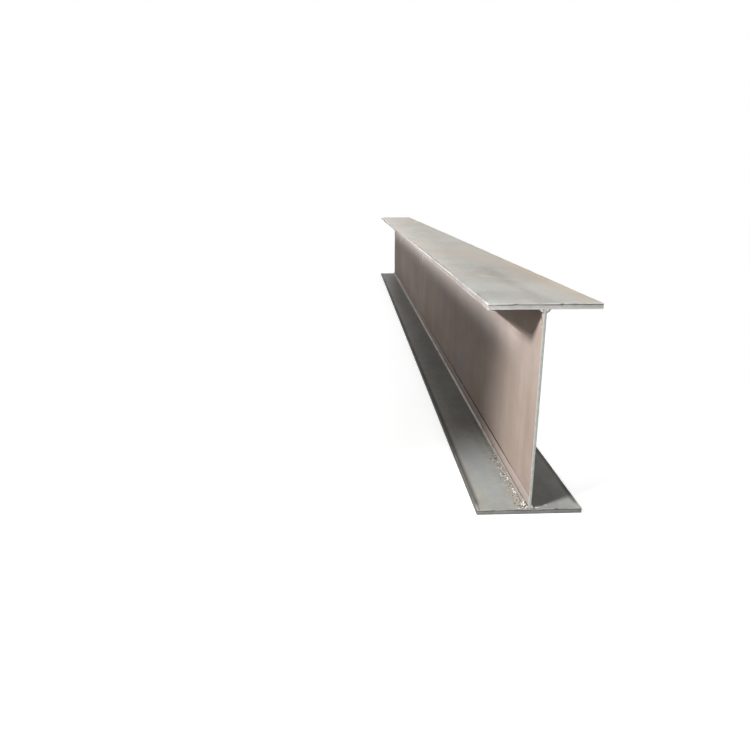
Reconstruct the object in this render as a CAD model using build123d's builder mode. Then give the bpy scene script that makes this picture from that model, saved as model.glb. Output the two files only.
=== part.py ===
"""Welded steel H-beam: two flame-cut flange plates and a web plate, joined by four fillet welds.

Frame: +X across the flanges, +Y along the beam, +Z up from the floor that the bottom flange lies on.
The origin is on that floor, at mid width and mid length.
"""

import os

from build123d import *

# Driving dimensions, in millimetres
beam_length = 6000.0
beam_depth = 700.0
flange_width = 350.0
flange_thickness = 18.0
web_thickness = 10.0

# Fillet welds: equal legs, with a face that stands a little proud of flat
weld_leg = 10.0
weld_crown = 1.0

# Melted corners along the flame-cut flange strips, and the dressed rim of each square-cut end
flange_corner_radius = 1.5
end_bevel = 0.8

# Heights of the two joints between the web and the flanges
lower_joint = flange_thickness
upper_joint = beam_depth - flange_thickness


def flange_plate(underside):
    """A rolled strip with rounded long corners, lying flat with its lower face at the given height."""
    with BuildPart() as flange:
        with BuildSketch(Plane.XZ) as section:
            with Locations((0, underside + flange_thickness / 2)):
                Rectangle(flange_width, flange_thickness)
            fillet(section.vertices(), flange_corner_radius)
        extrude(amount=beam_length / 2, both=True)
        end_rims = flange.faces().filter_by(Axis.Y).edges()
        chamfer(end_rims, end_bevel)
    return flange.part


def web_plate():
    """The upright plate, square-edged and tight between the flanges, bevelled where its sides meet the ends."""
    with BuildPart() as web:
        with BuildSketch(Plane.XZ):
            with Locations((0, (lower_joint + upper_joint) / 2)):
                Rectangle(web_thickness, upper_joint - lower_joint)
        extrude(amount=beam_length / 2, both=True)
        end_sides = web.faces().filter_by(Axis.Y).edges().filter_by(Axis.Z)
        chamfer(end_sides, end_bevel)
    return web.part


def fillet_weld(side, joint, rise):
    """A bead in one corner: side -1 is left, rise +1 builds up from the joint and -1 hangs below it."""
    web_face = side * web_thickness / 2
    root = (web_face, joint)
    flange_toe = (web_face + side * weld_leg, joint)
    web_toe = (web_face, joint + rise * weld_leg)
    # The crown stands off the middle of the straight line between the toes, square to it
    reach = weld_leg / 2 + weld_crown / 2**0.5
    crown = (web_face + side * reach, joint + rise * reach)
    with BuildPart() as bead:
        with BuildSketch(Plane.XZ):
            with BuildLine():
                Line(web_toe, root)
                Line(root, flange_toe)
                ThreePointArc(flange_toe, crown, web_toe)
            make_face()
        extrude(amount=beam_length / 2, both=True)
    return bead.part


pieces = {
    "bottom_flange_plate": flange_plate(0),
    "top_flange_plate": flange_plate(upper_joint),
    "web_plate": web_plate(),
    "bottom_left_weld": fillet_weld(-1, lower_joint, +1),
    "bottom_right_weld": fillet_weld(+1, lower_joint, +1),
    "top_left_weld": fillet_weld(-1, upper_joint, -1),
    "top_right_weld": fillet_weld(+1, upper_joint, -1),
}

os.makedirs("parts", exist_ok=True)
for name, piece in pieces.items():
    piece.label = name
    export_step(piece, f"parts/{name}.step")
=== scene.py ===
"""Looks of the welded steel H-beam: flame-cut plates with mill scale and rust bloom, rippled fillet
welds with spatter, a pale floor and soft studio light. Everything is in metres, in the beam's own
frame: +X across the flanges, +Y along the beam, +Z up."""
import math

import bpy
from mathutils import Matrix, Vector


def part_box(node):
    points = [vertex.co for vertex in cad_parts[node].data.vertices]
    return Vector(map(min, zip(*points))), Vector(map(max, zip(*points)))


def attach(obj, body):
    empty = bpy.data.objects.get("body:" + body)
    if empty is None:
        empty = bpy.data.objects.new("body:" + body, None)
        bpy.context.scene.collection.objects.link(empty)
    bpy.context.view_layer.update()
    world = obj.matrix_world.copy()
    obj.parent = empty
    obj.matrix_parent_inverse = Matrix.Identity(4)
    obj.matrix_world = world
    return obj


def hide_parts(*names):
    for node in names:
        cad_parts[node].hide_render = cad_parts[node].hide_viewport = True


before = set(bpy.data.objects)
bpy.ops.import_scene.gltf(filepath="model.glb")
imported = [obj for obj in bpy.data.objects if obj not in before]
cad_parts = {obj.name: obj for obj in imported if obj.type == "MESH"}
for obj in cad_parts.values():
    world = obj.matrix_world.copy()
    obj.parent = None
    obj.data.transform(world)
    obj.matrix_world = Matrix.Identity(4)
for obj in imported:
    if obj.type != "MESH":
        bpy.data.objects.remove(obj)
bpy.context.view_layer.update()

# Plates and welds, as the frame gives them
web_low, web_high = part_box("web_plate")
weld_low, weld_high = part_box("bottom_right_weld")
top_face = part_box("top_flange_plate")[1].z
half_web = web_high.x
weld_leg = weld_high.x - weld_low.x
lower_joint = web_low.z
upper_joint = web_high.z
near_end = web_low.y
far_end = web_high.y
beam_length = far_end - near_end

# Flame-cut plates: melted corners, the skin that counts as cut, and how far in the long edges wander
corner_radius = 0.0014
skin_start, skin_full = 0.0012, 0.0003
wander_reach = 0.012

# Ends of the plates: a groove under the upper rim, and nicks in the rim
end_reach = 0.006
groove_below_rim, groove_sway = 0.0042, 0.003
groove_mouth, groove_floor = 0.0022, 0.0003
nick_mouth, nick_floor = 0.009, 0.002
nick_foot, nick_full = 0.009, 0.003

# Beads: their ripples, the stretch at each end where the run starts or stops, and the skin of their ends
bead_crown = 0.001
ripple_pitch, ripple_height = 0.009, 0.0006
stop_reach = 0.09
end_skin_start, end_skin_full = 0.003, 0.0005

# Drops of spatter: their distance from the ends of the beam, and how far a bead throws them
drop_margin = 0.008
drop_reach = 0.05

# Heights of the dross on the near end of the web
dross_low, dross_high = 0.626, 0.668

# Fine relief of the finishes
plate_relief, bead_relief, drop_relief = 0.0006, 0.0005, 0.0004

# Flanges: rims with a painted highlight and a painted shadow line, a darker band in from the sides, rust in
# from the sides, and on an end a band of painted shade below the upper rim and a band near the lower rim
side_rim_width, end_rim_width = 0.0045, 0.003
darkening_start, darkening_full = 0.024, 0.008
darkening_gap_start, darkening_gap_end = 0.015, 0.06
side_rust_reach = 0.05
under_rim_shade_start, under_rim_shade_full, under_rim_shade_ebb, under_rim_shade_end = 0.0008, 0.0022, 0.0045, 0.0075
low_rim_start, low_rim_full = 0.011, 0.0165

# Web: the strip cleaned for welding with a paler band below the dark line, partly a painted highlight, and
# the pale band under the top flange, partly painted light
strip_height, strip_sway, strip_blur = 0.047, 0.018, 0.003
thin_line, thick_line = 0.002, 0.0062
rub_highlight_below_line, rub_highlight_start, rub_highlight_full = 0.012, 0.009, 0.002
band_foot, band_full, band_ebb, band_top = 0.38, 0.48, 0.54, 0.62

# Camera, fitted to the beam's corners in the 750 by 750 photograph
camera_place = Vector((-0.5857, -4.7861, 1.0229))
camera_turn_right = math.radians(2.464)
camera_tilt_down = math.radians(16.74)
camera_lens_mm = 29.53
camera_sensor_mm = 36.0
camera_reach = 100.0


class Field:
    """A number that varies over a surface: one output of a node, with arithmetic that adds more nodes."""

    def __init__(self, socket):
        self.socket = socket
        self.tree = socket.id_data

    def calc(self, operation, *others):
        return calc(self.tree, operation, self, *others)

    def __add__(self, other):
        return self.calc("ADD", other)

    def __mul__(self, other):
        return self.calc("MULTIPLY", other)

    def __sub__(self, other):
        return self.calc("SUBTRACT", other)

    def __truediv__(self, other):
        return self.calc("DIVIDE", other)

    def __pow__(self, other):
        return self.calc("POWER", other)

    def __rsub__(self, other):
        return calc(self.tree, "SUBTRACT", other, self)

    def __abs__(self):
        return self.calc("ABSOLUTE")

    __radd__ = __add__
    __rmul__ = __mul__

    def sign(self):
        return self.calc("SIGN")

    def fraction(self):
        return self.calc("FRACT")

    def most(self, other):
        return self.calc("MAXIMUM", other)

    def least(self, other):
        return self.calc("MINIMUM", other)

    def ramp(self, start, end, low=0.0, high=1.0):
        """Low where this is at start, high where it is at end, easing between them and level beyond."""
        values = {"Value": self, "From Min": start, "From Max": end, "To Min": low, "To Max": high}
        node = put(self.tree, "ShaderNodeMapRange", values, interpolation_type="SMOOTHSTEP")
        return Field(node.outputs[0])


def feed(socket, value):
    """Joins a field to a socket, or sets the socket to a plain value."""
    if isinstance(value, Field):
        socket.id_data.links.new(value.socket, socket)
    else:
        socket.default_value = value


def put(tree, kind, inputs=None, **settings):
    """Adds a node, with its settings and its inputs by name or number."""
    node = tree.nodes.new(kind)
    for name, value in settings.items():
        setattr(node, name, value)
    for key, value in (inputs or {}).items():
        feed(node.inputs[key], value)
    return node


def calc(tree, operation, *values):
    """Arithmetic on numbers."""
    return Field(put(tree, "ShaderNodeMath", dict(enumerate(values)), operation=operation).outputs[0])


def steps(tree, operation, *values):
    """Arithmetic on vectors, part by part."""
    return Field(put(tree, "ShaderNodeVectorMath", dict(enumerate(values)), operation=operation).outputs[0])


def measure(tree, operation, *values):
    """A number worked out from vectors, such as a length."""
    return Field(put(tree, "ShaderNodeVectorMath", dict(enumerate(values)), operation=operation).outputs[1])


def split(vector):
    """The x, y and z of a vector field."""
    return [Field(s) for s in put(vector.tree, "ShaderNodeSeparateXYZ", {0: vector}).outputs]


def triple(tree, x, y, z):
    """A vector field from three numbers."""
    return Field(put(tree, "ShaderNodeCombineXYZ", {0: x, 1: y, 2: z}).outputs[0])


def scaled(tree, vector, amount):
    """A vector times a number."""
    return steps(tree, "MULTIPLY", vector, triple(tree, amount, amount, amount))


def noise(tree, place, scale, detail=2.0, roughness=0.5, stretch=None):
    """Smooth noise from 0 to 1 about 0.5. A stretch below 1 draws the pattern out along that axis."""
    if stretch:
        place = steps(tree, "MULTIPLY", place, stretch)
    inputs = {"Vector": place, "Scale": scale, "Detail": detail, "Roughness": roughness}
    return Field(put(tree, "ShaderNodeTexNoise", inputs).outputs[0])


def blend(tree, factor, first, second):
    """A colour that goes from first to second as factor goes from 0 to 1."""
    node = put(tree, "ShaderNodeMix", {0: factor, 6: first, 7: second}, data_type="RGBA")
    return Field(node.outputs[2])


def between(factor, first, second):
    """A number that goes from first to second as factor goes from 0 to 1."""
    return first + (second - first) * factor


def new_tree(name, kind, inputs, outputs):
    """A node group with named sockets. Gives the tree, its inputs as fields and its output node."""
    tree = bpy.data.node_groups.new(name, kind)
    for label, socket_kind in outputs:
        tree.interface.new_socket(label, in_out="OUTPUT", socket_type=socket_kind)
    for label, socket_kind in inputs:
        tree.interface.new_socket(label, in_out="INPUT", socket_type=socket_kind)
    source = tree.nodes.new("NodeGroupInput")
    fields = {s.name: Field(s) for s in source.outputs if s.name}
    return tree, fields, tree.nodes.new("NodeGroupOutput")


NUMBER, WHOLE, VECTOR, COLOUR = "NodeSocketFloat", "NodeSocketInt", "NodeSocketVector", "NodeSocketColor"
SHAPE, FINISH = "NodeSocketGeometry", "NodeSocketMaterial"
GEOMETRY, SHADER = "GeometryNodeTree", "ShaderNodeTree"


# Geometry trees

def finish_shape(tree, shape, material, result):
    """The end of every geometry tree: real instances, smooth faces and one material."""
    shape = put(tree, "GeometryNodeRealizeInstances", {0: shape}).outputs[0]
    shape = put(tree, "GeometryNodeSetShadeSmooth", {0: Field(shape)}).outputs[0]
    shape = put(tree, "GeometryNodeSetMaterial", {0: Field(shape), "Material": material}).outputs[0]
    feed(result.inputs[0], Field(shape))


def store(tree, shape, name, value):
    """Keeps a number on the points of a shape, for its material to read."""
    node = put(tree, "GeometryNodeStoreNamedAttribute", {0: shape, "Name": name, "Value": value})
    return Field(node.outputs[0])


def over_face(tree, value):
    """The mean of a number over the corners of each face."""
    node = put(tree, "GeometryNodeFieldOnDomain", {0: value}, data_type="FLOAT", domain="FACE")
    return Field(node.outputs[0])


def store_map(tree, shape, u, v):
    """Keeps a flat map of the shape's skin, named OFBake, that a finish can be baked through."""
    inputs = {0: shape, "Name": "OFBake", "Value": triple(tree, u, v, 0.0)}
    node = put(tree, "GeometryNodeStoreNamedAttribute", inputs, data_type="FLOAT2", domain="CORNER")
    return Field(node.outputs[0])


def flame_cut_plate_tree():
    """A plate cut by flame: melted corners, long edges that wander, and ends with a groove and nicks
    under the upper rim. Its points crowd towards its edges, where the shape is."""
    tree, given, result = new_tree("flame_cut_plate", GEOMETRY, [
        ("Low Corner", VECTOR), ("High Corner", VECTOR),
        ("Points Across", WHOLE), ("Points Along", WHOLE), ("Points Up", WHOLE), ("Crowding", VECTOR),
        ("Corner Radius", NUMBER), ("Edge Wander", NUMBER), ("Groove Depth", NUMBER),
        ("Nick Depth", NUMBER), ("First Nick", NUMBER), ("Second Nick", NUMBER), ("Seed", NUMBER),
        ("Material", FINISH),
    ], [("Plate", SHAPE)])
    block = put(tree, "GeometryNodeMeshCube", {
        "Size": (2, 2, 2), "Vertices X": given["Points Across"],
        "Vertices Y": given["Points Along"], "Vertices Z": given["Points Up"]})
    unit = Field(tree.nodes.new("GeometryNodeInputPosition").outputs[0])
    low, high = given["Low Corner"], given["High Corner"]
    half = scaled(tree, steps(tree, "SUBTRACT", high, low), 0.5)
    centre = scaled(tree, steps(tree, "ADD", high, low), 0.5)
    to_edge = steps(tree, "SUBTRACT", (1, 1, 1), steps(tree, "ABSOLUTE", unit))
    crowded = steps(tree, "SUBTRACT", (1, 1, 1), steps(tree, "POWER", to_edge, given["Crowding"]))
    flat = steps(tree, "MULTIPLY", steps(tree, "MULTIPLY", steps(tree, "SIGN", unit), crowded), half)
    x, y, z = split(flat)
    half_x, half_y, half_z = split(half)
    from_side = half_x - abs(x)
    from_end = half_y - abs(y)
    below_rim = half_z - z
    shift = triple(tree, given["Seed"], given["Seed"], given["Seed"])
    place = steps(tree, "ADD", steps(tree, "ADD", flat, centre), shift)

    # Corners melt to a radius that changes along the edge
    radius = given["Corner Radius"] * noise(tree, place, 14.0).ramp(0.3, 0.7, 0.55, 1.45)
    limit = steps(tree, "SUBTRACT", half, triple(tree, radius, radius, radius))
    inner = steps(tree, "MAXIMUM", steps(tree, "MINIMUM", flat, limit), scaled(tree, limit, -1.0))
    outward = steps(tree, "NORMALIZE", steps(tree, "SUBTRACT", flat, inner))
    rounded = steps(tree, "ADD", inner, scaled(tree, outward, radius))

    # Long edges wander a little inwards
    wander = noise(tree, place, 5.0) + noise(tree, place, 38.0) * 0.5
    pull_x = given["Edge Wander"] * wander * from_side.ramp(wander_reach, 0.0) * x.sign() * -1.0

    # Ends: a ragged groove below the upper rim, and nicks in the rim itself
    crosswise = (1.0, 0.0, 0.0)
    groove_line = groove_below_rim + (noise(tree, place, 45.0, 2.0, stretch=crosswise) - 0.5) * groove_sway
    in_groove = abs(below_rim - groove_line).ramp(groove_mouth, groove_floor)
    ragged = noise(tree, place, 17.0, 4.0, 0.6, crosswise).ramp(0.36, 0.6, 0.1, 1.0)
    to_nick = abs(x - given["First Nick"]).least(abs(x - given["Second Nick"]))
    nicked = to_nick.ramp(nick_mouth, nick_floor) * below_rim.ramp(nick_foot, nick_full)
    at_end = from_end.ramp(end_reach, 0.0)
    sunk = given["Groove Depth"] * in_groove * ragged + given["Nick Depth"] * nicked
    pull_y = sunk * at_end * y.sign() * -1.0

    # What the finish needs to know of each point
    from_face = half_z - abs(z)
    on_side = from_side.ramp(skin_start, skin_full) * from_end.ramp(skin_full, skin_start)
    shape = Field(block.outputs[0])
    shape = store(tree, shape, "side_cut", on_side)
    shape = store(tree, shape, "end_cut", from_end.ramp(skin_start, skin_full))
    shape = store(tree, shape, "groove", (in_groove * ragged).most(nicked) * at_end)
    shape = store(tree, shape, "from_side", from_side)
    shape = store(tree, shape, "side_rim", from_side.most(from_face))
    shape = store(tree, shape, "end_rim", from_end.most(from_face))
    moved = steps(tree, "ADD", steps(tree, "ADD", rounded, triple(tree, pull_x, pull_y, 0.0)), centre)
    shape = Field(put(tree, "GeometryNodeSetPosition", {0: shape, "Position": moved}).outputs[0])
    finish_shape(tree, shape, given["Material"], result)
    return tree


def weld_bead_tree():
    """A fillet bead along the beam: a closed section of face and two legs, swept on a tube of points,
    with crescent ripples, uneven toes and lumps where the run starts and stops."""
    tree, given, result = new_tree("weld_bead", GEOMETRY, [
        ("Root", VECTOR), ("Side", NUMBER), ("Rise", NUMBER), ("Length", NUMBER), ("Leg", NUMBER),
        ("Crown", NUMBER), ("Ripple Pitch", NUMBER), ("Ripple Height", NUMBER), ("Toe Wander", NUMBER),
        ("End Lumps", NUMBER), ("Points Round", WHOLE), ("Steps Along", WHOLE), ("Seed", NUMBER),
        ("Material", FINISH),
    ], [("Bead", SHAPE)])
    tube = put(tree, "GeometryNodeMeshCylinder", {
        "Vertices": given["Points Round"], "Side Segments": given["Steps Along"], "Fill Segments": 1,
        "Radius": 1.0, "Depth": given["Length"]})
    round_x, round_y, tube_z = split(Field(tree.nodes.new("GeometryNodeInputPosition").outputs[0]))
    share = round_y.calc("ARCTAN2", round_x) / math.tau + 0.5
    along = tube_z * -1.0
    place = triple(tree, given["Seed"], along, given["Seed"] * 0.37)

    # Share of the way round: the face, then the leg on the web, then the leg on the flange
    face_end, root_at = 9 / 12, 10 / 12
    across = (share / face_end).least(1.0)
    web_leg = ((share - face_end) / (root_at - face_end)).most(0.0).least(1.0)
    flange_leg = ((share - root_at) / (1.0 - root_at)).most(0.0)
    on_face = across * (1.0 - across) * 4.0

    # Both toes wander, and swell where the run starts and stops
    to_end = given["Length"] / 2.0 - abs(along)
    stop = to_end.ramp(stop_reach, 0.0)
    flange_reach = given["Leg"] * (1.0 + given["Toe Wander"] * (noise(tree, place, 55.0, 3.0) - 0.5)
                                   + given["End Lumps"] * stop * noise(tree, place, 90.0))
    shifted = triple(tree, given["Seed"] + 7.0, along, given["Seed"])
    web_reach = given["Leg"] * (1.0 + given["Toe Wander"] * (noise(tree, shifted, 48.0, 3.0) - 0.5)
                                + given["End Lumps"] * stop * noise(tree, shifted, 70.0))

    # Each ripple is a crescent that bows back at the middle of the face
    bow, unevenness = 0.55, 1.6
    uneven = noise(tree, place, 26.0) * unevenness
    phase = (along / given["Ripple Pitch"] + on_face * bow + uneven).fraction()
    crest = (phase * 2.0 - 1.0) * (phase * 2.0 - 1.0)
    ripple = (1.0 - crest) * on_face
    spots = triple(tree, across * 0.02 + given["Seed"], along, 0.0)
    lumps = noise(tree, spots, 210.0, 2.0) * stop * on_face
    swell = noise(tree, place, 9.0) * on_face
    stand = (given["Crown"] * (on_face * 0.7 + swell * 0.5) + given["Ripple Height"] * ripple
             + given["End Lumps"] * given["Leg"] * 0.5 * lumps) * math.sqrt(0.5)

    out = flange_reach * (1.0 - across) + flange_reach * flange_leg + stand
    up = web_reach * across - web_reach * web_leg + stand
    root_x, root_y, root_z = split(given["Root"])
    position = triple(tree, root_x + given["Side"] * out, root_y + along, root_z + given["Rise"] * up)

    # The flat map: lengths of the run side by side, and the two ends in a row above them
    lengths, margin = 15, 0.04
    length_foot, length_rise = 0.01, 0.93
    first_end, end_spacing, end_row, end_radius = 0.03, 0.04, 0.975, 0.012
    way = along / given["Length"] + 0.5
    length_number = (over_face(tree, way) * lengths).calc("FLOOR")
    ring = (share - 0.0001).fraction()
    opens_ring = calc(tree, "GREATER_THAN", ring - over_face(tree, ring), 0.25)
    is_end = calc(tree, "GREATER_THAN", abs(over_face(tree, way) - 0.5), 0.49999)
    run_u = (length_number + margin + (ring - opens_ring) * (1.0 - 2.0 * margin)) / lengths
    run_v = length_foot + (way * lengths - length_number) * length_rise
    u = between(is_end, run_u, first_end + way * end_spacing + round_x * end_radius)
    v = between(is_end, run_v, end_row + round_y * end_radius)
    shape = store_map(tree, Field(tube.outputs[0]), u, v)
    shape = store(tree, shape, "ripple", ripple)
    shape = store(tree, shape, "stop", stop)
    shape = store(tree, shape, "end_cut", to_end.ramp(end_skin_start, end_skin_full))
    shape = Field(put(tree, "GeometryNodeSetPosition", {0: shape, "Position": position}).outputs[0])
    mirrored = calc(tree, "LESS_THAN", given["Side"] * given["Rise"], 0.0)
    shape = Field(put(tree, "GeometryNodeFlipFaces", {0: shape, 1: mirrored}).outputs[0])
    finish_shape(tree, shape, given["Material"], result)
    return tree


def bead_scatter_tree():
    """Drops of metal frozen on a face, thrown from a line: thickest at the line and flattened on the face."""
    tree, given, result = new_tree("bead_scatter", GEOMETRY, [
        ("Start", VECTOR), ("End", VECTOR), ("Across Face", VECTOR), ("Face Normal", VECTOR),
        ("Count", WHOLE), ("Spread", NUMBER), ("Crowding", NUMBER), ("Start Crowding", NUMBER),
        ("Smallest", NUMBER), ("Largest", NUMBER), ("Seed", WHOLE), ("Material", FINISH),
    ], [("Drops", SHAPE)])

    def chance(low, high, salt):
        """A random number for each drop."""
        values = {2: low, 3: high, "Seed": given["Seed"] + salt}
        return Field(put(tree, "FunctionNodeRandomValue", values, data_type="FLOAT").outputs[1])

    way = chance(0.0, 1.0, 1) ** given["Start Crowding"]
    off = (chance(0.0, 1.0, 2) ** given["Crowding"]) * given["Spread"]
    size = given["Smallest"] + (given["Largest"] - given["Smallest"]) * (chance(0.0, 1.0, 3) ** 3.0)
    run = steps(tree, "SUBTRACT", given["End"], given["Start"])
    on_line = steps(tree, "ADD", given["Start"], scaled(tree, run, way))
    place = steps(tree, "ADD", on_line, scaled(tree, given["Across Face"], off))
    points = put(tree, "GeometryNodePoints", {"Count": given["Count"], "Position": place})
    drop = put(tree, "GeometryNodeMeshUVSphere", {"Segments": 8, "Rings": 5, "Radius": 1.0})
    aligned = put(tree, "FunctionNodeAlignRotationToVector", {"Vector": given["Face Normal"]}, axis="Z")
    spin = put(tree, "FunctionNodeEulerToRotation", {0: triple(tree, 0.0, 0.0, chance(0.0, math.tau, 4))})
    turned = put(tree, "FunctionNodeRotateRotation", {
        0: Field(aligned.outputs[0]), 1: Field(spin.outputs[0])}, rotation_space="LOCAL")
    shape = put(tree, "GeometryNodeInstanceOnPoints", {
        "Points": Field(points.outputs[0]), "Instance": Field(drop.outputs[0]),
        "Rotation": Field(turned.outputs[0]),
        "Scale": triple(tree, size * chance(0.8, 1.5, 5), size, size * chance(0.45, 0.8, 6))})
    finish_shape(tree, Field(shape.outputs[0]), given["Material"], result)
    return tree


def grown(name, tree, values):
    """A plain mesh object made by a geometry tree with these inputs."""
    piece = bpy.data.objects.new(name, bpy.data.meshes.new(name + "_seed"))
    bpy.context.scene.collection.objects.link(piece)
    modifier = piece.modifiers.new("shape", "NODES")
    modifier.node_group = tree
    for item in tree.interface.items_tree:
        if item.in_out == "INPUT":
            modifier[item.identifier] = values[item.name]
    depsgraph = bpy.context.evaluated_depsgraph_get()
    mesh = bpy.data.meshes.new_from_object(piece.evaluated_get(depsgraph))
    piece.modifiers.remove(modifier)
    piece.data = mesh
    mesh.name = name
    return piece


# Shader groups

def mill_scale_group():
    """The blue-grey skin of hot-rolled plate: clouds, patches, rolling streaks and flaked spots."""
    tree, given, result = new_tree("mill_scale", SHADER, [
        ("Place", VECTOR), ("Pale", COLOUR), ("Deep", COLOUR), ("Warm", COLOUR), ("Warmth", NUMBER),
        ("Streaks", NUMBER), ("Flakes", NUMBER),
    ], [("Colour", COLOUR), ("Roughness", NUMBER), ("Height", NUMBER)])
    place = given["Place"]
    clouds = noise(tree, place, 4.5, 4.0, 0.6, (1.0, 0.45, 1.0)).ramp(0.34, 0.66)
    patches = noise(tree, place, 21.0, 5.0, 0.62, (1.0, 0.7, 1.0)).ramp(0.36, 0.64)
    streaks = noise(tree, place, 75.0, 3.0, 0.6, (1.0, 0.02, 1.0)) - 0.5
    bands = noise(tree, place, 6.0, 3.0, 0.55, (0.12, 1.0, 0.12)) - 0.5
    grain = noise(tree, place, 620.0, 2.0, 0.6) - 0.5
    flaked = noise(tree, place, 95.0, 3.0, 0.6).ramp(0.62, 0.68) * given["Flakes"]
    tone = clouds * 0.42 + patches * 0.42 + streaks * given["Streaks"] + bands * 0.6 + grain * 0.9 + 0.08
    colour = blend(tree, tone.most(0.0).least(1.0), given["Deep"], given["Pale"])
    warm = noise(tree, place, 2.6, 4.0, 0.6, (1.0, 0.5, 1.0)).ramp(0.38, 0.64) * given["Warmth"]
    colour = blend(tree, warm, colour, given["Warm"])
    colour = blend(tree, flaked * 0.55, colour, given["Deep"])
    feed(result.inputs["Colour"], colour)
    feed(result.inputs["Roughness"], between(patches, 0.58, 0.74) + grain * 0.2)
    feed(result.inputs["Height"], patches * 0.35 + grain * 0.5 - flaked)
    return tree


def rust_bloom_group():
    """Thin patches of rust, darker at the heart. More amount lets the patches grow together."""
    dark_rust = (0.13, 0.058, 0.028, 1)
    light_rust = (0.42, 0.23, 0.12, 1)
    tree, given, result = new_tree("rust_bloom", SHADER, [
        ("Place", VECTOR), ("Amount", NUMBER), ("Size", NUMBER),
    ], [("Mask", NUMBER), ("Colour", COLOUR)])
    spread = noise(tree, given["Place"], given["Size"], 6.0, 0.68)
    start = 0.72 - given["Amount"] * 0.4
    feed(result.inputs["Mask"], (spread - start).ramp(0.0, 0.14))
    speckle = noise(tree, given["Place"], given["Size"] * 6.0, 4.0, 0.7).ramp(0.35, 0.65)
    feed(result.inputs["Colour"], blend(tree, speckle, dark_rust, light_rust))
    return tree


def rim_highlight_and_shade_group():
    """A rim with a painted highlight that comes and goes, and a painted shadow line just inside it."""
    tree, given, result = new_tree("rim_highlight_and_shade", SHADER, [
        ("Place", VECTOR), ("From Rim", NUMBER), ("Width", NUMBER),
    ], [("Bright", NUMBER), ("Dark", NUMBER)])
    rubbed_highlight = noise(tree, given["Place"], 9.0, 5.0, 0.65).ramp(0.36, 0.56)
    shadow_breaks = noise(tree, given["Place"], 5.5, 4.0, 0.6).ramp(0.42, 0.62)
    width = given["Width"]
    edge = given["From Rim"]
    feed(result.inputs["Bright"], edge.ramp(width, width * 0.4) * rubbed_highlight)
    feed(result.inputs["Dark"], abs(edge - width * 2.0).ramp(width * 1.1, width * 0.2) * shadow_breaks)
    return tree


def flame_cut_group():
    """The drag lines that a cutting flame leaves across an edge, with soot and blued scale between."""
    tree, given, result = new_tree("flame_cut", SHADER, [
        ("Place", VECTOR), ("Pale", COLOUR), ("Deep", COLOUR),
    ], [("Colour", COLOUR), ("Height", NUMBER)])
    lines = noise(tree, given["Place"], 420.0, 2.0, 0.55, (1.0, 1.0, 0.07))
    soot = noise(tree, given["Place"], 26.0, 5.0, 0.65, (1.0, 1.0, 2.0)).ramp(0.32, 0.68)
    tone = soot * 0.75 + (lines - 0.5) * 0.8 + 0.1
    feed(result.inputs["Colour"], blend(tree, tone.most(0.0).least(1.0), given["Deep"], given["Pale"]))
    feed(result.inputs["Height"], lines)
    return tree


def smear_group():
    """A smear along a straight line, broken up by noise: 1 on the line and 0 a width away from it."""
    tree, given, result = new_tree("smear", SHADER, [
        ("Place", VECTOR), ("Start", VECTOR), ("End", VECTOR), ("Width", NUMBER), ("Broken", NUMBER),
    ], [("Mask", NUMBER)])
    run = steps(tree, "SUBTRACT", given["End"], given["Start"])
    to_place = steps(tree, "SUBTRACT", given["Place"], given["Start"])
    way = measure(tree, "DOT_PRODUCT", to_place, run) / measure(tree, "DOT_PRODUCT", run, run)
    nearest = scaled(tree, run, way.most(0.0).least(1.0))
    gap = measure(tree, "LENGTH", steps(tree, "SUBTRACT", to_place, nearest))
    patchy = noise(tree, given["Place"], 40.0, 4.0, 0.65).ramp(0.36, 0.62)
    feed(result.inputs["Mask"], gap.ramp(given["Width"], 0.0) * (1.0 - given["Broken"] * (1.0 - patchy)))
    return tree


mill_scale = mill_scale_group()
rust_bloom = rust_bloom_group()
rim_highlight_and_shade = rim_highlight_and_shade_group()
flame_cut = flame_cut_group()
smear = smear_group()


# Finishes

def use(tree, group, values):
    """Places a shader group with its values, and gives its outputs by name."""
    node = put(tree, "ShaderNodeGroup", node_tree=group)
    for name, value in values.items():
        feed(node.inputs[name], value)
    return {s.name: Field(s) for s in node.outputs}


def kept(tree, name):
    """A number that a geometry tree kept on the points of its piece."""
    return Field(put(tree, "ShaderNodeAttribute", attribute_name=name).outputs["Fac"])


def new_finish(name, gloss=0.3):
    """A new material. Gives it with its tree, its shader's sockets and the place on the piece."""
    material = bpy.data.materials.new(name)
    material.use_nodes = True
    tree = material.node_tree
    place = Field(tree.nodes.new("ShaderNodeTexCoord").outputs["Object"])
    sockets = tree.nodes["Principled BSDF"].inputs
    sockets["Specular IOR Level"].default_value = gloss
    return material, tree, sockets, place


def roughen(tree, sockets, height, depth):
    """Gives a finish fine relief of this depth."""
    bump = put(tree, "ShaderNodeBump", {"Height": height, "Distance": depth})
    feed(sockets["Normal"], Field(bump.outputs[0]))


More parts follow.
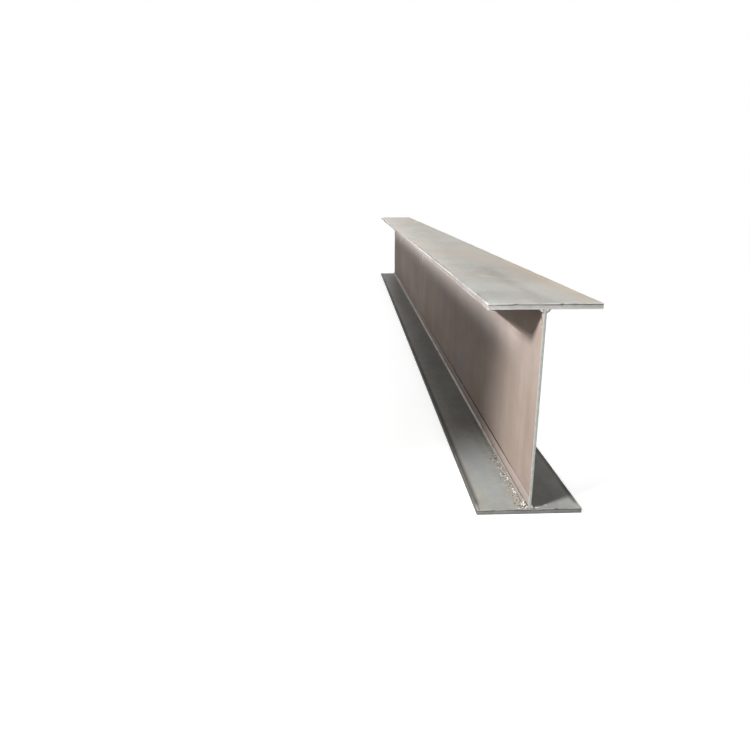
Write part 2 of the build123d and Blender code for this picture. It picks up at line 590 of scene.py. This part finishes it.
def flange_steel(name, look):
    """Mill scale on the wide faces, flame-cut edges, rims with a painted highlight and a painted shadow line,
    and the marks that the look lists.
    """
    under_rim_shade_colour = (0.17, 0.155, 0.135, 1)
    groove_shade = (0.06, 0.055, 0.05, 1)
    rim_shade_brown = (0.10, 0.085, 0.07, 1)
    material, tree, sockets, place = new_finish(name)
    x, y, z = split(place)
    from_near = y - near_end
    side_cut, end_cut, from_side = kept(tree, "side_cut"), kept(tree, "end_cut"), kept(tree, "from_side")
    cut = side_cut.most(end_cut)
    warmth = look["warmth"] + x.ramp(-0.06, 0.17) * look["right_warmth"]
    skin = use(tree, mill_scale, {
        "Place": place, "Pale": look["pale"], "Deep": look["deep"], "Warm": look["warm"],
        "Warmth": warmth + from_near.ramp(0.2, 1.4) * look["far_warmth"], "Streaks": 0.5, "Flakes": 0.8})
    colour = skin["Colour"]
    for start, end, width, strength, tint in look["smears"]:
        mark = use(tree, smear, {
            "Place": place, "Start": (start[0], near_end + start[1], look["upper_face"]),
            "End": (end[0], near_end + end[1], look["upper_face"]), "Width": width, "Broken": 0.6})
        colour = blend(tree, mark["Mask"] * strength, colour, tint)
    amount = from_side.ramp(side_rust_reach, 0.0, look["rust"], look["rust"] + 0.22)
    rust = use(tree, rust_bloom, {"Place": place, "Amount": amount, "Size": 7.0})
    colour = blend(tree, rust["Mask"] * look["rust_strength"], colour, rust["Colour"])

    # Cut faces, with a darker blotchy band in from the long edges, and the dark groove of the end
    # A darker, blotchy band in from the long edges of the wide faces, in the side faces' deep colour
    soot = noise(tree, place, 3.0, 4.0, 0.6).ramp(0.25, 0.5, 0.45, 1.0)
    soot = soot * from_side.ramp(darkening_start, darkening_full) * from_near.ramp(darkening_gap_start, darkening_gap_end)
    colour = blend(tree, soot * look["side_darkening"], colour, look["side_deep"])
    side = use(tree, flame_cut, {"Place": place, "Pale": look["side_pale"], "Deep": look["side_deep"]})
    colour = blend(tree, side_cut, colour, side["Colour"])
    end = use(tree, flame_cut, {"Place": place, "Pale": look["end_pale"], "Deep": look["end_deep"]})
    colour = blend(tree, end_cut, colour, end["Colour"])
    # A band of painted shade just below the upper rim of each end
    below_rim = look["upper_face"] - z
    patchy = noise(tree, place, 24.0, 4.0, 0.6).ramp(0.32, 0.6, 0.35, 1.0)
    under_rim_shade = end_cut * below_rim.ramp(under_rim_shade_start, under_rim_shade_full) * below_rim.ramp(under_rim_shade_end, under_rim_shade_ebb) * patchy
    colour = blend(tree, under_rim_shade * look["under_rim_shade"], colour, under_rim_shade_colour)
    low_rim = end_cut * below_rim.ramp(low_rim_start, low_rim_full)
    colour = blend(tree, low_rim * 0.6, colour, look["low_rim"])
    # The groove and the nicks of the ends are darkened: painted shade, with some dark oxide
    colour = blend(tree, kept(tree, "groove") * 0.8, colour, groove_shade)

    # Rims, each a little different in tint, with a painted highlight along them and a painted shadow line
    # just inside
    on_right = x.ramp(-0.1, 0.1)
    rim = use(tree, rim_highlight_and_shade, {"Place": place, "From Rim": kept(tree, "side_rim"), "Width": side_rim_width})
    rim_shade = rim["Dark"] * look["rim_shade_strength"] * (1.0 - cut) * (1.0 - on_right * 0.7)
    colour = blend(tree, rim_shade, colour, rim_shade_brown)
    rim_tint = blend(tree, on_right, look["left_rim"], look["right_rim"])
    rim_strength = between(on_right, look["left_strength"], look["rim_strength"])
    colour = blend(tree, rim["Bright"] * rim_strength, colour, rim_tint)
    # The upper rims of the ends get the same painted highlight
    end_rim = use(tree, rim_highlight_and_shade, {"Place": place, "From Rim": kept(tree, "end_rim"), "Width": end_rim_width})
    colour = blend(tree, end_rim["Bright"] * look["rim_strength"], colour, look["left_rim"])
    feed(sockets["Base Color"], colour)
    feed(sockets["Roughness"], between(rust["Mask"].most(cut), skin["Roughness"], 0.72))
    roughen(tree, sockets, between(cut, skin["Height"], side["Height"]), plate_relief)
    return material


def web_steel():
    """Mill scale gone brown with thin rust, drip streaks down the plate and a strip
    cleaned for welding along the lower welds."""
    tan_film = (0.50, 0.415, 0.33, 1)
    drip_brown = (0.335, 0.265, 0.225, 1)
    stain_brown = (0.33, 0.25, 0.215, 1)
    blued_scale = (0.39, 0.36, 0.35, 1)
    grey_and_lit_colour = (0.53, 0.495, 0.465, 1)
    cleaned_steel = (0.52, 0.44, 0.415, 1)
    rubbed_highlight_pink = (0.60, 0.505, 0.465, 1)
    burnt_line = (0.045, 0.018, 0.016, 1)
    foot_tan = (0.43, 0.375, 0.31, 1)
    pale_tick = (0.78, 0.75, 0.71, 1)
    edge_pale = (0.66, 0.67, 0.63, 1)
    edge_deep = (0.48, 0.48, 0.45, 1)
    material, tree, sockets, place = new_finish("web_steel", gloss=0.12)
    x, y, z = split(place)
    from_near = y - near_end
    cut = kept(tree, "end_cut")
    skin = use(tree, mill_scale, {
        "Place": place, "Pale": (0.52, 0.425, 0.37, 1), "Deep": (0.37, 0.29, 0.25, 1),
        "Warm": (0.46, 0.345, 0.29, 1), "Warmth": 0.45, "Streaks": 0.12, "Flakes": 0.3})
    drips = noise(tree, place, 10.0, 4.0, 0.55, (0.0, 1.0, 0.1)).ramp(0.36, 0.64)
    drips = drips * noise(tree, place, 1.3, 2.0).ramp(0.38, 0.6, 0.25, 1.0)
    stains = noise(tree, place, 2.2, 5.0, 0.62, (0.0, 1.0, 0.6)).ramp(0.42, 0.66)
    blued = noise(tree, place, 4.0, 5.0, 0.62, (1.0, 0.5, 1.0)).ramp(0.5, 0.66)
    tan = noise(tree, place, 5.0, 4.0, 0.6, (0.0, 1.0, 0.12)).ramp(0.46, 0.62)
    colour = blend(tree, tan * 0.5, skin["Colour"], tan_film)
    colour = blend(tree, drips * 0.5, colour, drip_brown)
    colour = blend(tree, stains * 0.4, colour, stain_brown)
    colour = blend(tree, blued * 0.4, colour, blued_scale)

    # A faint paler band under the top flange: partly a greyer tint and partly painted light
    grey_and_lit_band = z.ramp(band_foot, band_full) * z.ramp(band_top, band_ebb)
    grey_and_lit_band = grey_and_lit_band * from_near.ramp(0.05, 0.9, 0.4, 1.0)
    colour = blend(tree, grey_and_lit_band * 0.35, colour, grey_and_lit_colour)

    # The strip beside the lower welds was cleaned for welding. A dark line of burnt scale bounds it
    sway = (noise(tree, place, 2.3, 2.0, stretch=(0.0, 1.0, 0.0)) - 0.5) * strip_sway
    above = z - (lower_joint + strip_height + sway)
    thickness = from_near.ramp(0.15, 0.5, thin_line, thick_line)
    strength = from_near.ramp(3.5, 0.8, 0.35, 0.95) * noise(tree, place, 7.0, 3.0).ramp(0.28, 0.42, 0.4, 1.0)
    strength = strength * from_near.ramp(0.05, 0.3, 0.45, 1.0)
    line = abs(above).ramp(thickness, thickness * 0.4) * strength
    # A paler band just below the dark line: a painted highlight on a pinker tint
    rubbed_highlight = abs(above + rub_highlight_below_line).ramp(rub_highlight_start, rub_highlight_full) * 0.45
    colour = blend(tree, above.ramp(strip_blur, -strip_blur) * 0.5, colour, cleaned_steel)
    colour = blend(tree, rubbed_highlight, colour, rubbed_highlight_pink)
    colour = blend(tree, line, colour, burnt_line)

    # Marks on the left face: a stain at the foot of the near end, and two short pale marks. Each has a start
    # and an end, by distance from the near end and height, then its width, how broken it is, its strength and
    # tint
    on_left = x.ramp(0.002, -0.002)
    marks = [
        ((0.0, 0.03), (0.09, 0.04), 0.04, 0.5, 0.75, foot_tan),
        ((3.06, 0.478), (3.03, 0.536), 0.032, 0.55, 0.8, pale_tick),
        ((5.12, 0.485), (5.10, 0.52), 0.05, 0.55, 0.8, pale_tick),
    ]
    for start, end, width, broken, strength, tint in marks:
        mark = use(tree, smear, {
            "Place": place, "Start": (-half_web, near_end + start[0], start[1]),
            "End": (-half_web, near_end + end[0], end[1]), "Width": width, "Broken": broken})
        colour = blend(tree, mark["Mask"] * on_left * strength, colour, tint)

    rust = use(tree, rust_bloom, {"Place": place, "Amount": 0.3, "Size": 6.0})
    colour = blend(tree, rust["Mask"] * 0.3, colour, rust["Colour"])
    edge = use(tree, flame_cut, {"Place": place, "Pale": edge_pale, "Deep": edge_deep})
    colour = blend(tree, cut, colour, edge["Colour"])
    feed(sockets["Base Color"], colour)
    feed(sockets["Roughness"], between(rust["Mask"], skin["Roughness"], 0.78))
    roughen(tree, sockets, between(cut, skin["Height"], edge["Height"]), plate_relief)
    return material


def weld_metal():
    """Bead metal: darker between the ripples' crests as painted shade, rusted in places, with spots of
    unscaled metal at the stops whose brightness is partly a painted glint.
    """
    brown_crest = (0.42, 0.35, 0.30, 1)
    grey_crest = (0.40, 0.40, 0.38, 1)
    hollow_shade = (0.17, 0.13, 0.105, 1)
    bare_glint_metal = (0.78, 0.74, 0.66, 1)
    end_pale = (0.58, 0.575, 0.55, 1)
    end_deep = (0.38, 0.375, 0.35, 1)
    material, tree, sockets, place = new_finish("weld_metal")
    ripple, stop = kept(tree, "ripple"), kept(tree, "stop")
    heat = noise(tree, place, 12.0, 4.0, 0.6).ramp(0.36, 0.64)
    crest = blend(tree, heat, brown_crest, grey_crest)
    # Between the ripples' crests the bead is darkened: painted shade
    colour = blend(tree, ripple.ramp(0.1, 0.75), hollow_shade, crest)
    rust = use(tree, rust_bloom, {"Place": place, "Amount": 0.45, "Size": 16.0})
    colour = blend(tree, rust["Mask"] * 0.35, colour, rust["Colour"])
    # Near-white spots at the stops: unscaled metal whose brightness is partly a painted glint
    bare_glint = noise(tree, place, 130.0, 3.0, 0.6).ramp(0.5, 0.62) * stop
    colour = blend(tree, bare_glint, colour, bare_glint_metal)
    end = use(tree, flame_cut, {"Place": place, "Pale": end_pale, "Deep": end_deep})
    colour = blend(tree, kept(tree, "end_cut"), colour, end["Colour"])
    feed(sockets["Base Color"], colour)
    feed(sockets["Metallic"], between(rust["Mask"], 0.35, 0.0).most(bare_glint * 0.6))
    feed(sockets["Roughness"], between(rust["Mask"], 0.42, 0.75))
    roughen(tree, sockets, noise(tree, place, 500.0, 3.0, 0.6), bead_relief)
    return material


def drop_metal(name, dull, bright):
    """Frozen drops, some dull with scale and some bright."""
    material, tree, sockets, place = new_finish(name)
    shine = noise(tree, place, 110.0, 2.0, 0.5).ramp(0.42, 0.58)
    feed(sockets["Base Color"], blend(tree, shine, dull, bright))
    feed(sockets["Metallic"], shine * 0.4)
    feed(sockets["Roughness"], between(shine, 0.62, 0.38))
    roughen(tree, sockets, noise(tree, place, 700.0, 2.0), drop_relief)
    return material


# Looks of the two flanges. A smear has a start and an end, each across the flange and from the near end,
# then its width, its strength and its tint
top_look = {
    "pale": (0.555, 0.55, 0.51, 1), "deep": (0.345, 0.342, 0.322, 1), "warm": (0.53, 0.465, 0.40, 1),
    "warmth": 0.3, "right_warmth": 0.4, "far_warmth": 0.35, "rust": 0.1, "rust_strength": 0.3,
    "side_pale": (0.555, 0.52, 0.49, 1), "side_deep": (0.415, 0.385, 0.365, 1), "side_darkening": 0.0,
    "end_pale": (0.62, 0.615, 0.59, 1), "end_deep": (0.46, 0.455, 0.435, 1), "upper_face": top_face,
    "under_rim_shade": 0.6, "low_rim": (0.80, 0.79, 0.76, 1),
    "left_rim": (0.80, 0.76, 0.72, 1), "right_rim": (0.80, 0.72, 0.62, 1),
    "left_strength": 0.9, "rim_strength": 0.9, "rim_shade_strength": 0.7,
    "smears": [
        ((-0.062, 0.634), (0.043, 0.500), 0.03, 0.85, (0.64, 0.61, 0.47, 1)),
        ((0.005, 0.9), (0.0, 0.005), 0.05, 0.7, (0.35, 0.33, 0.30, 1)),
        ((0.02, 0.76), (0.03, 0.64), 0.03, 0.5, (0.33, 0.315, 0.28, 1)),
        ((-0.14, 0.5), (-0.10, 0.02), 0.10, 0.75, (0.385, 0.39, 0.365, 1)),
        ((0.14, 0.07), (0.13, 1.05), 0.085, 0.85, (0.55, 0.485, 0.395, 1)),
        ((0.165, 0.2), (0.162, 1.2), 0.03, 0.8, (0.66, 0.545, 0.40, 1)),
        ((0.07, 0.1), (0.06, 0.8), 0.06, 0.6, (0.53, 0.505, 0.46, 1)),
        ((0.13, 1.1), (0.14, 4.0), 0.08, 0.6, (0.52, 0.49, 0.455, 1)),
    ],
}
bottom_look = {
    "pale": (0.465, 0.472, 0.442, 1), "deep": (0.29, 0.297, 0.285, 1), "warm": (0.405, 0.387, 0.357, 1),
    "warmth": 0.3, "right_warmth": -0.1, "far_warmth": 0.1, "rust": 0.05, "rust_strength": 0.3,
    # The side faces are dark with painted shade
    "side_pale": (0.16, 0.155, 0.135, 1), "side_deep": (0.085, 0.08, 0.068, 1), "side_darkening": 0.8,
    "end_pale": (0.32, 0.32, 0.30, 1), "end_deep": (0.21, 0.21, 0.195, 1), "upper_face": lower_joint,
    "under_rim_shade": 0.15, "low_rim": (0.17, 0.165, 0.145, 1),
    "left_rim": (0.60, 0.59, 0.55, 1), "right_rim": (0.62, 0.60, 0.57, 1),
    "left_strength": 0.12, "rim_strength": 0.6, "rim_shade_strength": 0.6,
    "smears": [
        ((-0.11, 0.55), (-0.09, 0.1), 0.075, 0.9, (0.35, 0.38, 0.385, 1)),
        ((-0.155, 0.01), (-0.15, 0.14), 0.05, 0.7, (0.37, 0.358, 0.303, 1)),
        ((-0.05, 0.7), (-0.04, 0.1), 0.035, 0.4, (0.21, 0.22, 0.193, 1)),
        # The narrow dark band beside the lower left weld toe is painted shade
        ((-0.02, 0.8), (-0.02, 0.16), 0.015, 0.75, (0.175, 0.188, 0.158, 1)),
        ((-0.024, 0.01), (-0.022, 0.14), 0.032, 0.85, (0.42, 0.37, 0.305, 1)),
    ],
}
top_finish = flange_steel("top_flange_steel", top_look)
bottom_finish = flange_steel("bottom_flange_steel", bottom_look)
web_finish = web_steel()
weld_finish = weld_metal()
drop_finish = drop_metal("spatter_metal", dull=(0.10, 0.085, 0.07, 1), bright=(0.62, 0.58, 0.52, 1))
# Near-white drops: their colour is partly a painted glint
glint_finish = drop_metal("glint_drop_metal", dull=(0.55, 0.51, 0.44, 1), bright=(0.92, 0.90, 0.84, 1))


# Pieces

plate_tree = flame_cut_plate_tree()
bead_tree = weld_bead_tree()
scatter_tree = bead_scatter_tree()


def dress(piece, slot, *nodes):
    """Ties a finished piece to the beam's one body, and hides the solids that it stands for. The slot is not
    used.
    """
    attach(piece, "root")
    if nodes:
        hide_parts(*nodes)


def cut_plate(node, finish, slot, seed, points, wander=0.0, groove=0.0, nick=0.0, nicks=(0.0, 0.0)):
    """A plate in place of its solid. The nicks are places across it, from its middle."""
    low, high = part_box(node)
    plate = grown(node.replace("_plate", "_cut_plate"), plate_tree, {
        "Low Corner": low, "High Corner": high, "Crowding": (1.8, 1.6, 1.4),
        "Points Across": points[0], "Points Along": points[1], "Points Up": points[2],
        "Corner Radius": corner_radius, "Edge Wander": wander, "Groove Depth": groove,
        "Nick Depth": nick, "First Nick": nicks[0], "Second Nick": nicks[1],
        "Seed": seed, "Material": finish})
    dress(plate, slot, node)


def spatter(name, start, end, across, normal, count, spread, sizes, seed, finish, start_crowding=2.6):
    """Drops thrown from the line between start and end, across the face that the normal stands on."""
    drops = grown(name, scatter_tree, {
        "Start": start, "End": end, "Across Face": across, "Face Normal": normal, "Count": count,
        "Spread": spread, "Crowding": 2.2, "Start Crowding": start_crowding,
        "Smallest": sizes[0], "Largest": sizes[1], "Seed": seed, "Material": finish})
    dress(drops, "weld_metal")


def weld_run(node, side, rise, number):
    """One bead in its corner, and the drops that it threw on the flange and on the web."""
    joint = lower_joint if rise > 0 else upper_joint
    bead = grown(node.replace("_weld", "_bead"), bead_tree, {
        "Root": (side * half_web, 0.0, joint), "Side": side, "Rise": rise, "Length": beam_length,
        "Leg": weld_leg, "Crown": bead_crown, "Ripple Pitch": ripple_pitch, "Ripple Height": ripple_height,
        "Toe Wander": 0.3, "End Lumps": 0.25, "Points Round": 12, "Steps Along": 3000,
        "Seed": 5.0 + 3.1 * number, "Material": weld_finish})
    dress(bead, "weld_metal", node)
    corner = node.replace("_weld", "")
    first, last = near_end + drop_margin, far_end - drop_margin
    out, up = (side, 0.0, 0.0), (0.0, 0.0, rise)
    x, z = side * (half_web + weld_leg), joint
    spatter(f"{corner}_flange_spatter", (x, first, z), (x, last, z), out, up, count=160,
            spread=drop_reach, sizes=(0.0009, 0.0032), seed=40 + 10 * number, finish=drop_finish)
    x, z = side * half_web, joint + rise * weld_leg
    spatter(f"{corner}_web_spatter", (x, first, z), (x, last, z), up, out, count=90,
            spread=drop_reach, sizes=(0.0008, 0.0024), seed=45 + 10 * number, finish=drop_finish)


cut_plate("top_flange_plate", top_finish, "flange_steel", seed=3.0, points=(92, 300, 16),
          wander=0.0007, groove=0.0014, nick=0.003, nicks=(-0.088, 0.051))
cut_plate("bottom_flange_plate", bottom_finish, "flange_steel", seed=11.0, points=(92, 300, 16),
          wander=0.0007, groove=0.0010, nick=0.002, nicks=(-0.12, 0.09))
cut_plate("web_plate", web_finish, "web_steel", seed=23.0, points=(8, 300, 90))
weld_run("bottom_left_weld", -1.0, 1.0, 0)
weld_run("bottom_right_weld", 1.0, 1.0, 1)
weld_run("top_left_weld", -1.0, -1.0, 2)
weld_run("top_right_weld", 1.0, -1.0, 3)

# At the near end: thick spatter by the lower left bead, dross on the web's cut edge, and bright drops whose
# near-white colour is partly a painted glint
to_left, inward, upward = (-1.0, 0.0, 0.0), (0.0, 1.0, 0.0), (0.0, 0.0, 1.0)
toe = -half_web - weld_leg
first_drop = near_end + drop_margin
spatter("near_left_thick_spatter", (toe, first_drop, lower_joint), (toe, near_end + 0.45, lower_joint),
        to_left, upward, count=130, spread=0.028, sizes=(0.0014, 0.0048), seed=101,
        finish=drop_finish, start_crowding=1.3)
spatter("near_left_glint_spatter", (toe, first_drop, lower_joint), (toe, near_end + 0.4, lower_joint),
        to_left, upward, count=60, spread=0.022, sizes=(0.0014, 0.0042), seed=131,
        finish=glint_finish, start_crowding=1.1)
spatter("web_end_dross", (-half_web, near_end + 0.012, dross_low), (-half_web, near_end + 0.018, dross_high),
        inward, to_left, count=34, spread=0.010, sizes=(0.0010, 0.0030), seed=161,
        finish=drop_finish, start_crowding=1.0)
spatter("left_end_glint_drops", (-0.022, first_drop, 0.024), (-0.012, first_drop, 0.034),
        inward, (-0.7, 0.0, 0.7), count=14, spread=0.02, sizes=(0.0022, 0.0055), seed=171,
        finish=glint_finish, start_crowding=1.0)
spatter("right_end_glint_drops", (0.020, first_drop, lower_joint), (0.032, first_drop, lower_joint),
        inward, upward, count=7, spread=0.008, sizes=(0.0022, 0.005), seed=181,
        finish=glint_finish, start_crowding=1.0)


# Camera, floor and light

def camera():
    """The camera where the photograph was taken from."""
    data = bpy.data.cameras.new("camera")
    data.sensor_width = camera_sensor_mm
    data.lens = camera_lens_mm
    data.clip_end = camera_reach
    view = bpy.data.objects.new("camera", data)
    view.location = camera_place
    view.rotation_euler = (math.pi / 2 - camera_tilt_down, 0.0, -camera_turn_right)
    bpy.context.scene.collection.objects.link(view)
    bpy.context.scene.camera = view


def hang(data, place, target):
    """Hangs a lamp in its place, facing its target."""
    lamp = bpy.data.objects.new(data.name, data)
    lamp.location = place
    lamp.rotation_euler = (Vector(target) - Vector(place)).to_track_quat("-Z", "Y").to_euler()
    bpy.context.scene.collection.objects.link(lamp)


def soft_light(name, place, target, size, watts, spread=180.0):
    """A rectangular lamp that faces its target. A spread below 180 degrees gathers its light there."""
    data = bpy.data.lights.new(name, "AREA")
    data.shape = "RECTANGLE"
    data.size, data.size_y = size
    data.energy = watts
    data.spread = math.radians(spread)
    hang(data, place, target)


def soft_spot(name, place, target, radius, watts, cone, fade):
    """A round lamp that lights a cone about its target. The cone is in degrees, and the fade is the share
    of it that its soft edge takes."""
    data = bpy.data.lights.new(name, "SPOT")
    data.shadow_soft_size = radius
    data.energy = watts
    data.spot_size = math.radians(cone)
    data.spot_blend = fade
    hang(data, place, target)


def shown_directly(tree):
    """1 for rays that show the ground itself: to the camera, in a reflection or through glass."""
    path = tree.nodes.new("ShaderNodeLightPath")
    direct = Field(path.outputs["Is Camera Ray"])
    for ray in ("Is Glossy Ray", "Is Transmission Ray"):
        direct = direct.most(Field(path.outputs[ray]))
    return direct


def pale_world():
    """A surround that looks white and lights the beam only a little."""
    seen, cast = 1.0, 0.04
    world = bpy.data.worlds.new("pale_surround")
    bpy.context.scene.world = world
    world.use_nodes = True
    tree = world.node_tree
    ground = tree.nodes["Background"]
    ground.inputs["Color"].default_value = (1.0, 1.0, 1.0, 1.0)
    feed(ground.inputs["Strength"], shown_directly(tree).ramp(0.0, 1.0, cast, seen))


def pale_floor():
    """A matt floor under the beam, which keeps its shadow and fades into the pale surround on every side."""
    material = bpy.data.materials.new("pale_floor")
    material.use_nodes = True
    tree = material.node_tree
    tree.nodes.clear()
    x, y, _ = split(Field(tree.nodes.new("ShaderNodeTexCoord").outputs["Object"]))
    past_end = (abs(y) - beam_length / 2).most(0.0)
    distance = (x * x + past_end * past_end) ** 0.5
    grey = distance.ramp(start=0.3, end=1.7, low=0.55, high=0.02)
    shine = distance.ramp(start=0.2, end=0.9, low=0.82, high=1.0)
    matt = put(tree, "ShaderNodeBsdfDiffuse", {"Color": triple(tree, grey, grey, grey)})
    glow = put(tree, "ShaderNodeEmission", {"Strength": shown_directly(tree) * shine})
    both = put(tree, "ShaderNodeAddShader", {0: Field(matt.outputs[0]), 1: Field(glow.outputs[0])})
    output = tree.nodes.new("ShaderNodeOutputMaterial")
    tree.links.new(both.outputs[0], output.inputs["Surface"])
    mesh = bpy.data.meshes.new("floor")
    reach = 20.0
    corners = [(-reach, -reach, 0), (reach, -reach, 0), (reach, reach, 0), (-reach, reach, 0)]
    mesh.from_pydata(corners, [], [(0, 1, 2, 3)])
    mesh.materials.append(material)
    floor = bpy.data.objects.new("floor", mesh)
    bpy.context.scene.collection.objects.link(floor)


camera()
pale_world()
pale_floor()

# The key and the front lamp light the near end, the overhead lamp and the top strip the top flange, the side
# strip the web just under that flange, and the fills and the back lamp the other sides
soft_spot("key", place=(-1.75, -3.9, 1.82), target=(0.0, -3.33, 0.36),
          radius=0.2, watts=330.0, cone=38.0, fade=0.4)
soft_light("overhead", place=(0.0, 0.7, 3.6), target=(0.0, 0.7, 0.0), size=(1.2, 7.4), watts=40.0)
soft_light("top_strip", place=(0.06, 0.14, 2.7), target=(0.06, 0.14, 0.0),
           size=(0.35, 5.82), watts=3.2, spread=12.0)
soft_light("side_strip", place=(-1.9, 0.5, 1.9), target=(0.0, 0.5, 0.57),
           size=(6.5, 0.06), watts=2.45, spread=5.0)
soft_light("front", place=(-0.35, -6.2, 0.62), target=(0.0, -3.0, 0.35), size=(1.2, 0.8), watts=12.0)
soft_light("back", place=(0.5, 6.4, 0.55), target=(0.0, 3.0, 0.35), size=(1.6, 0.25), watts=16.0)
soft_light("left_fill", place=(-4.5, 1.2, 2.0), target=(0.0, 0.4, 0.35), size=(2.5, 2.5), watts=42.0)
soft_light("right_fill", place=(4.5, 3.2, 2.2), target=(0.0, 1.2, 0.35), size=(2.5, 2.5), watts=110.0)
bpy.context.scene.view_settings.view_transform = "Standard"
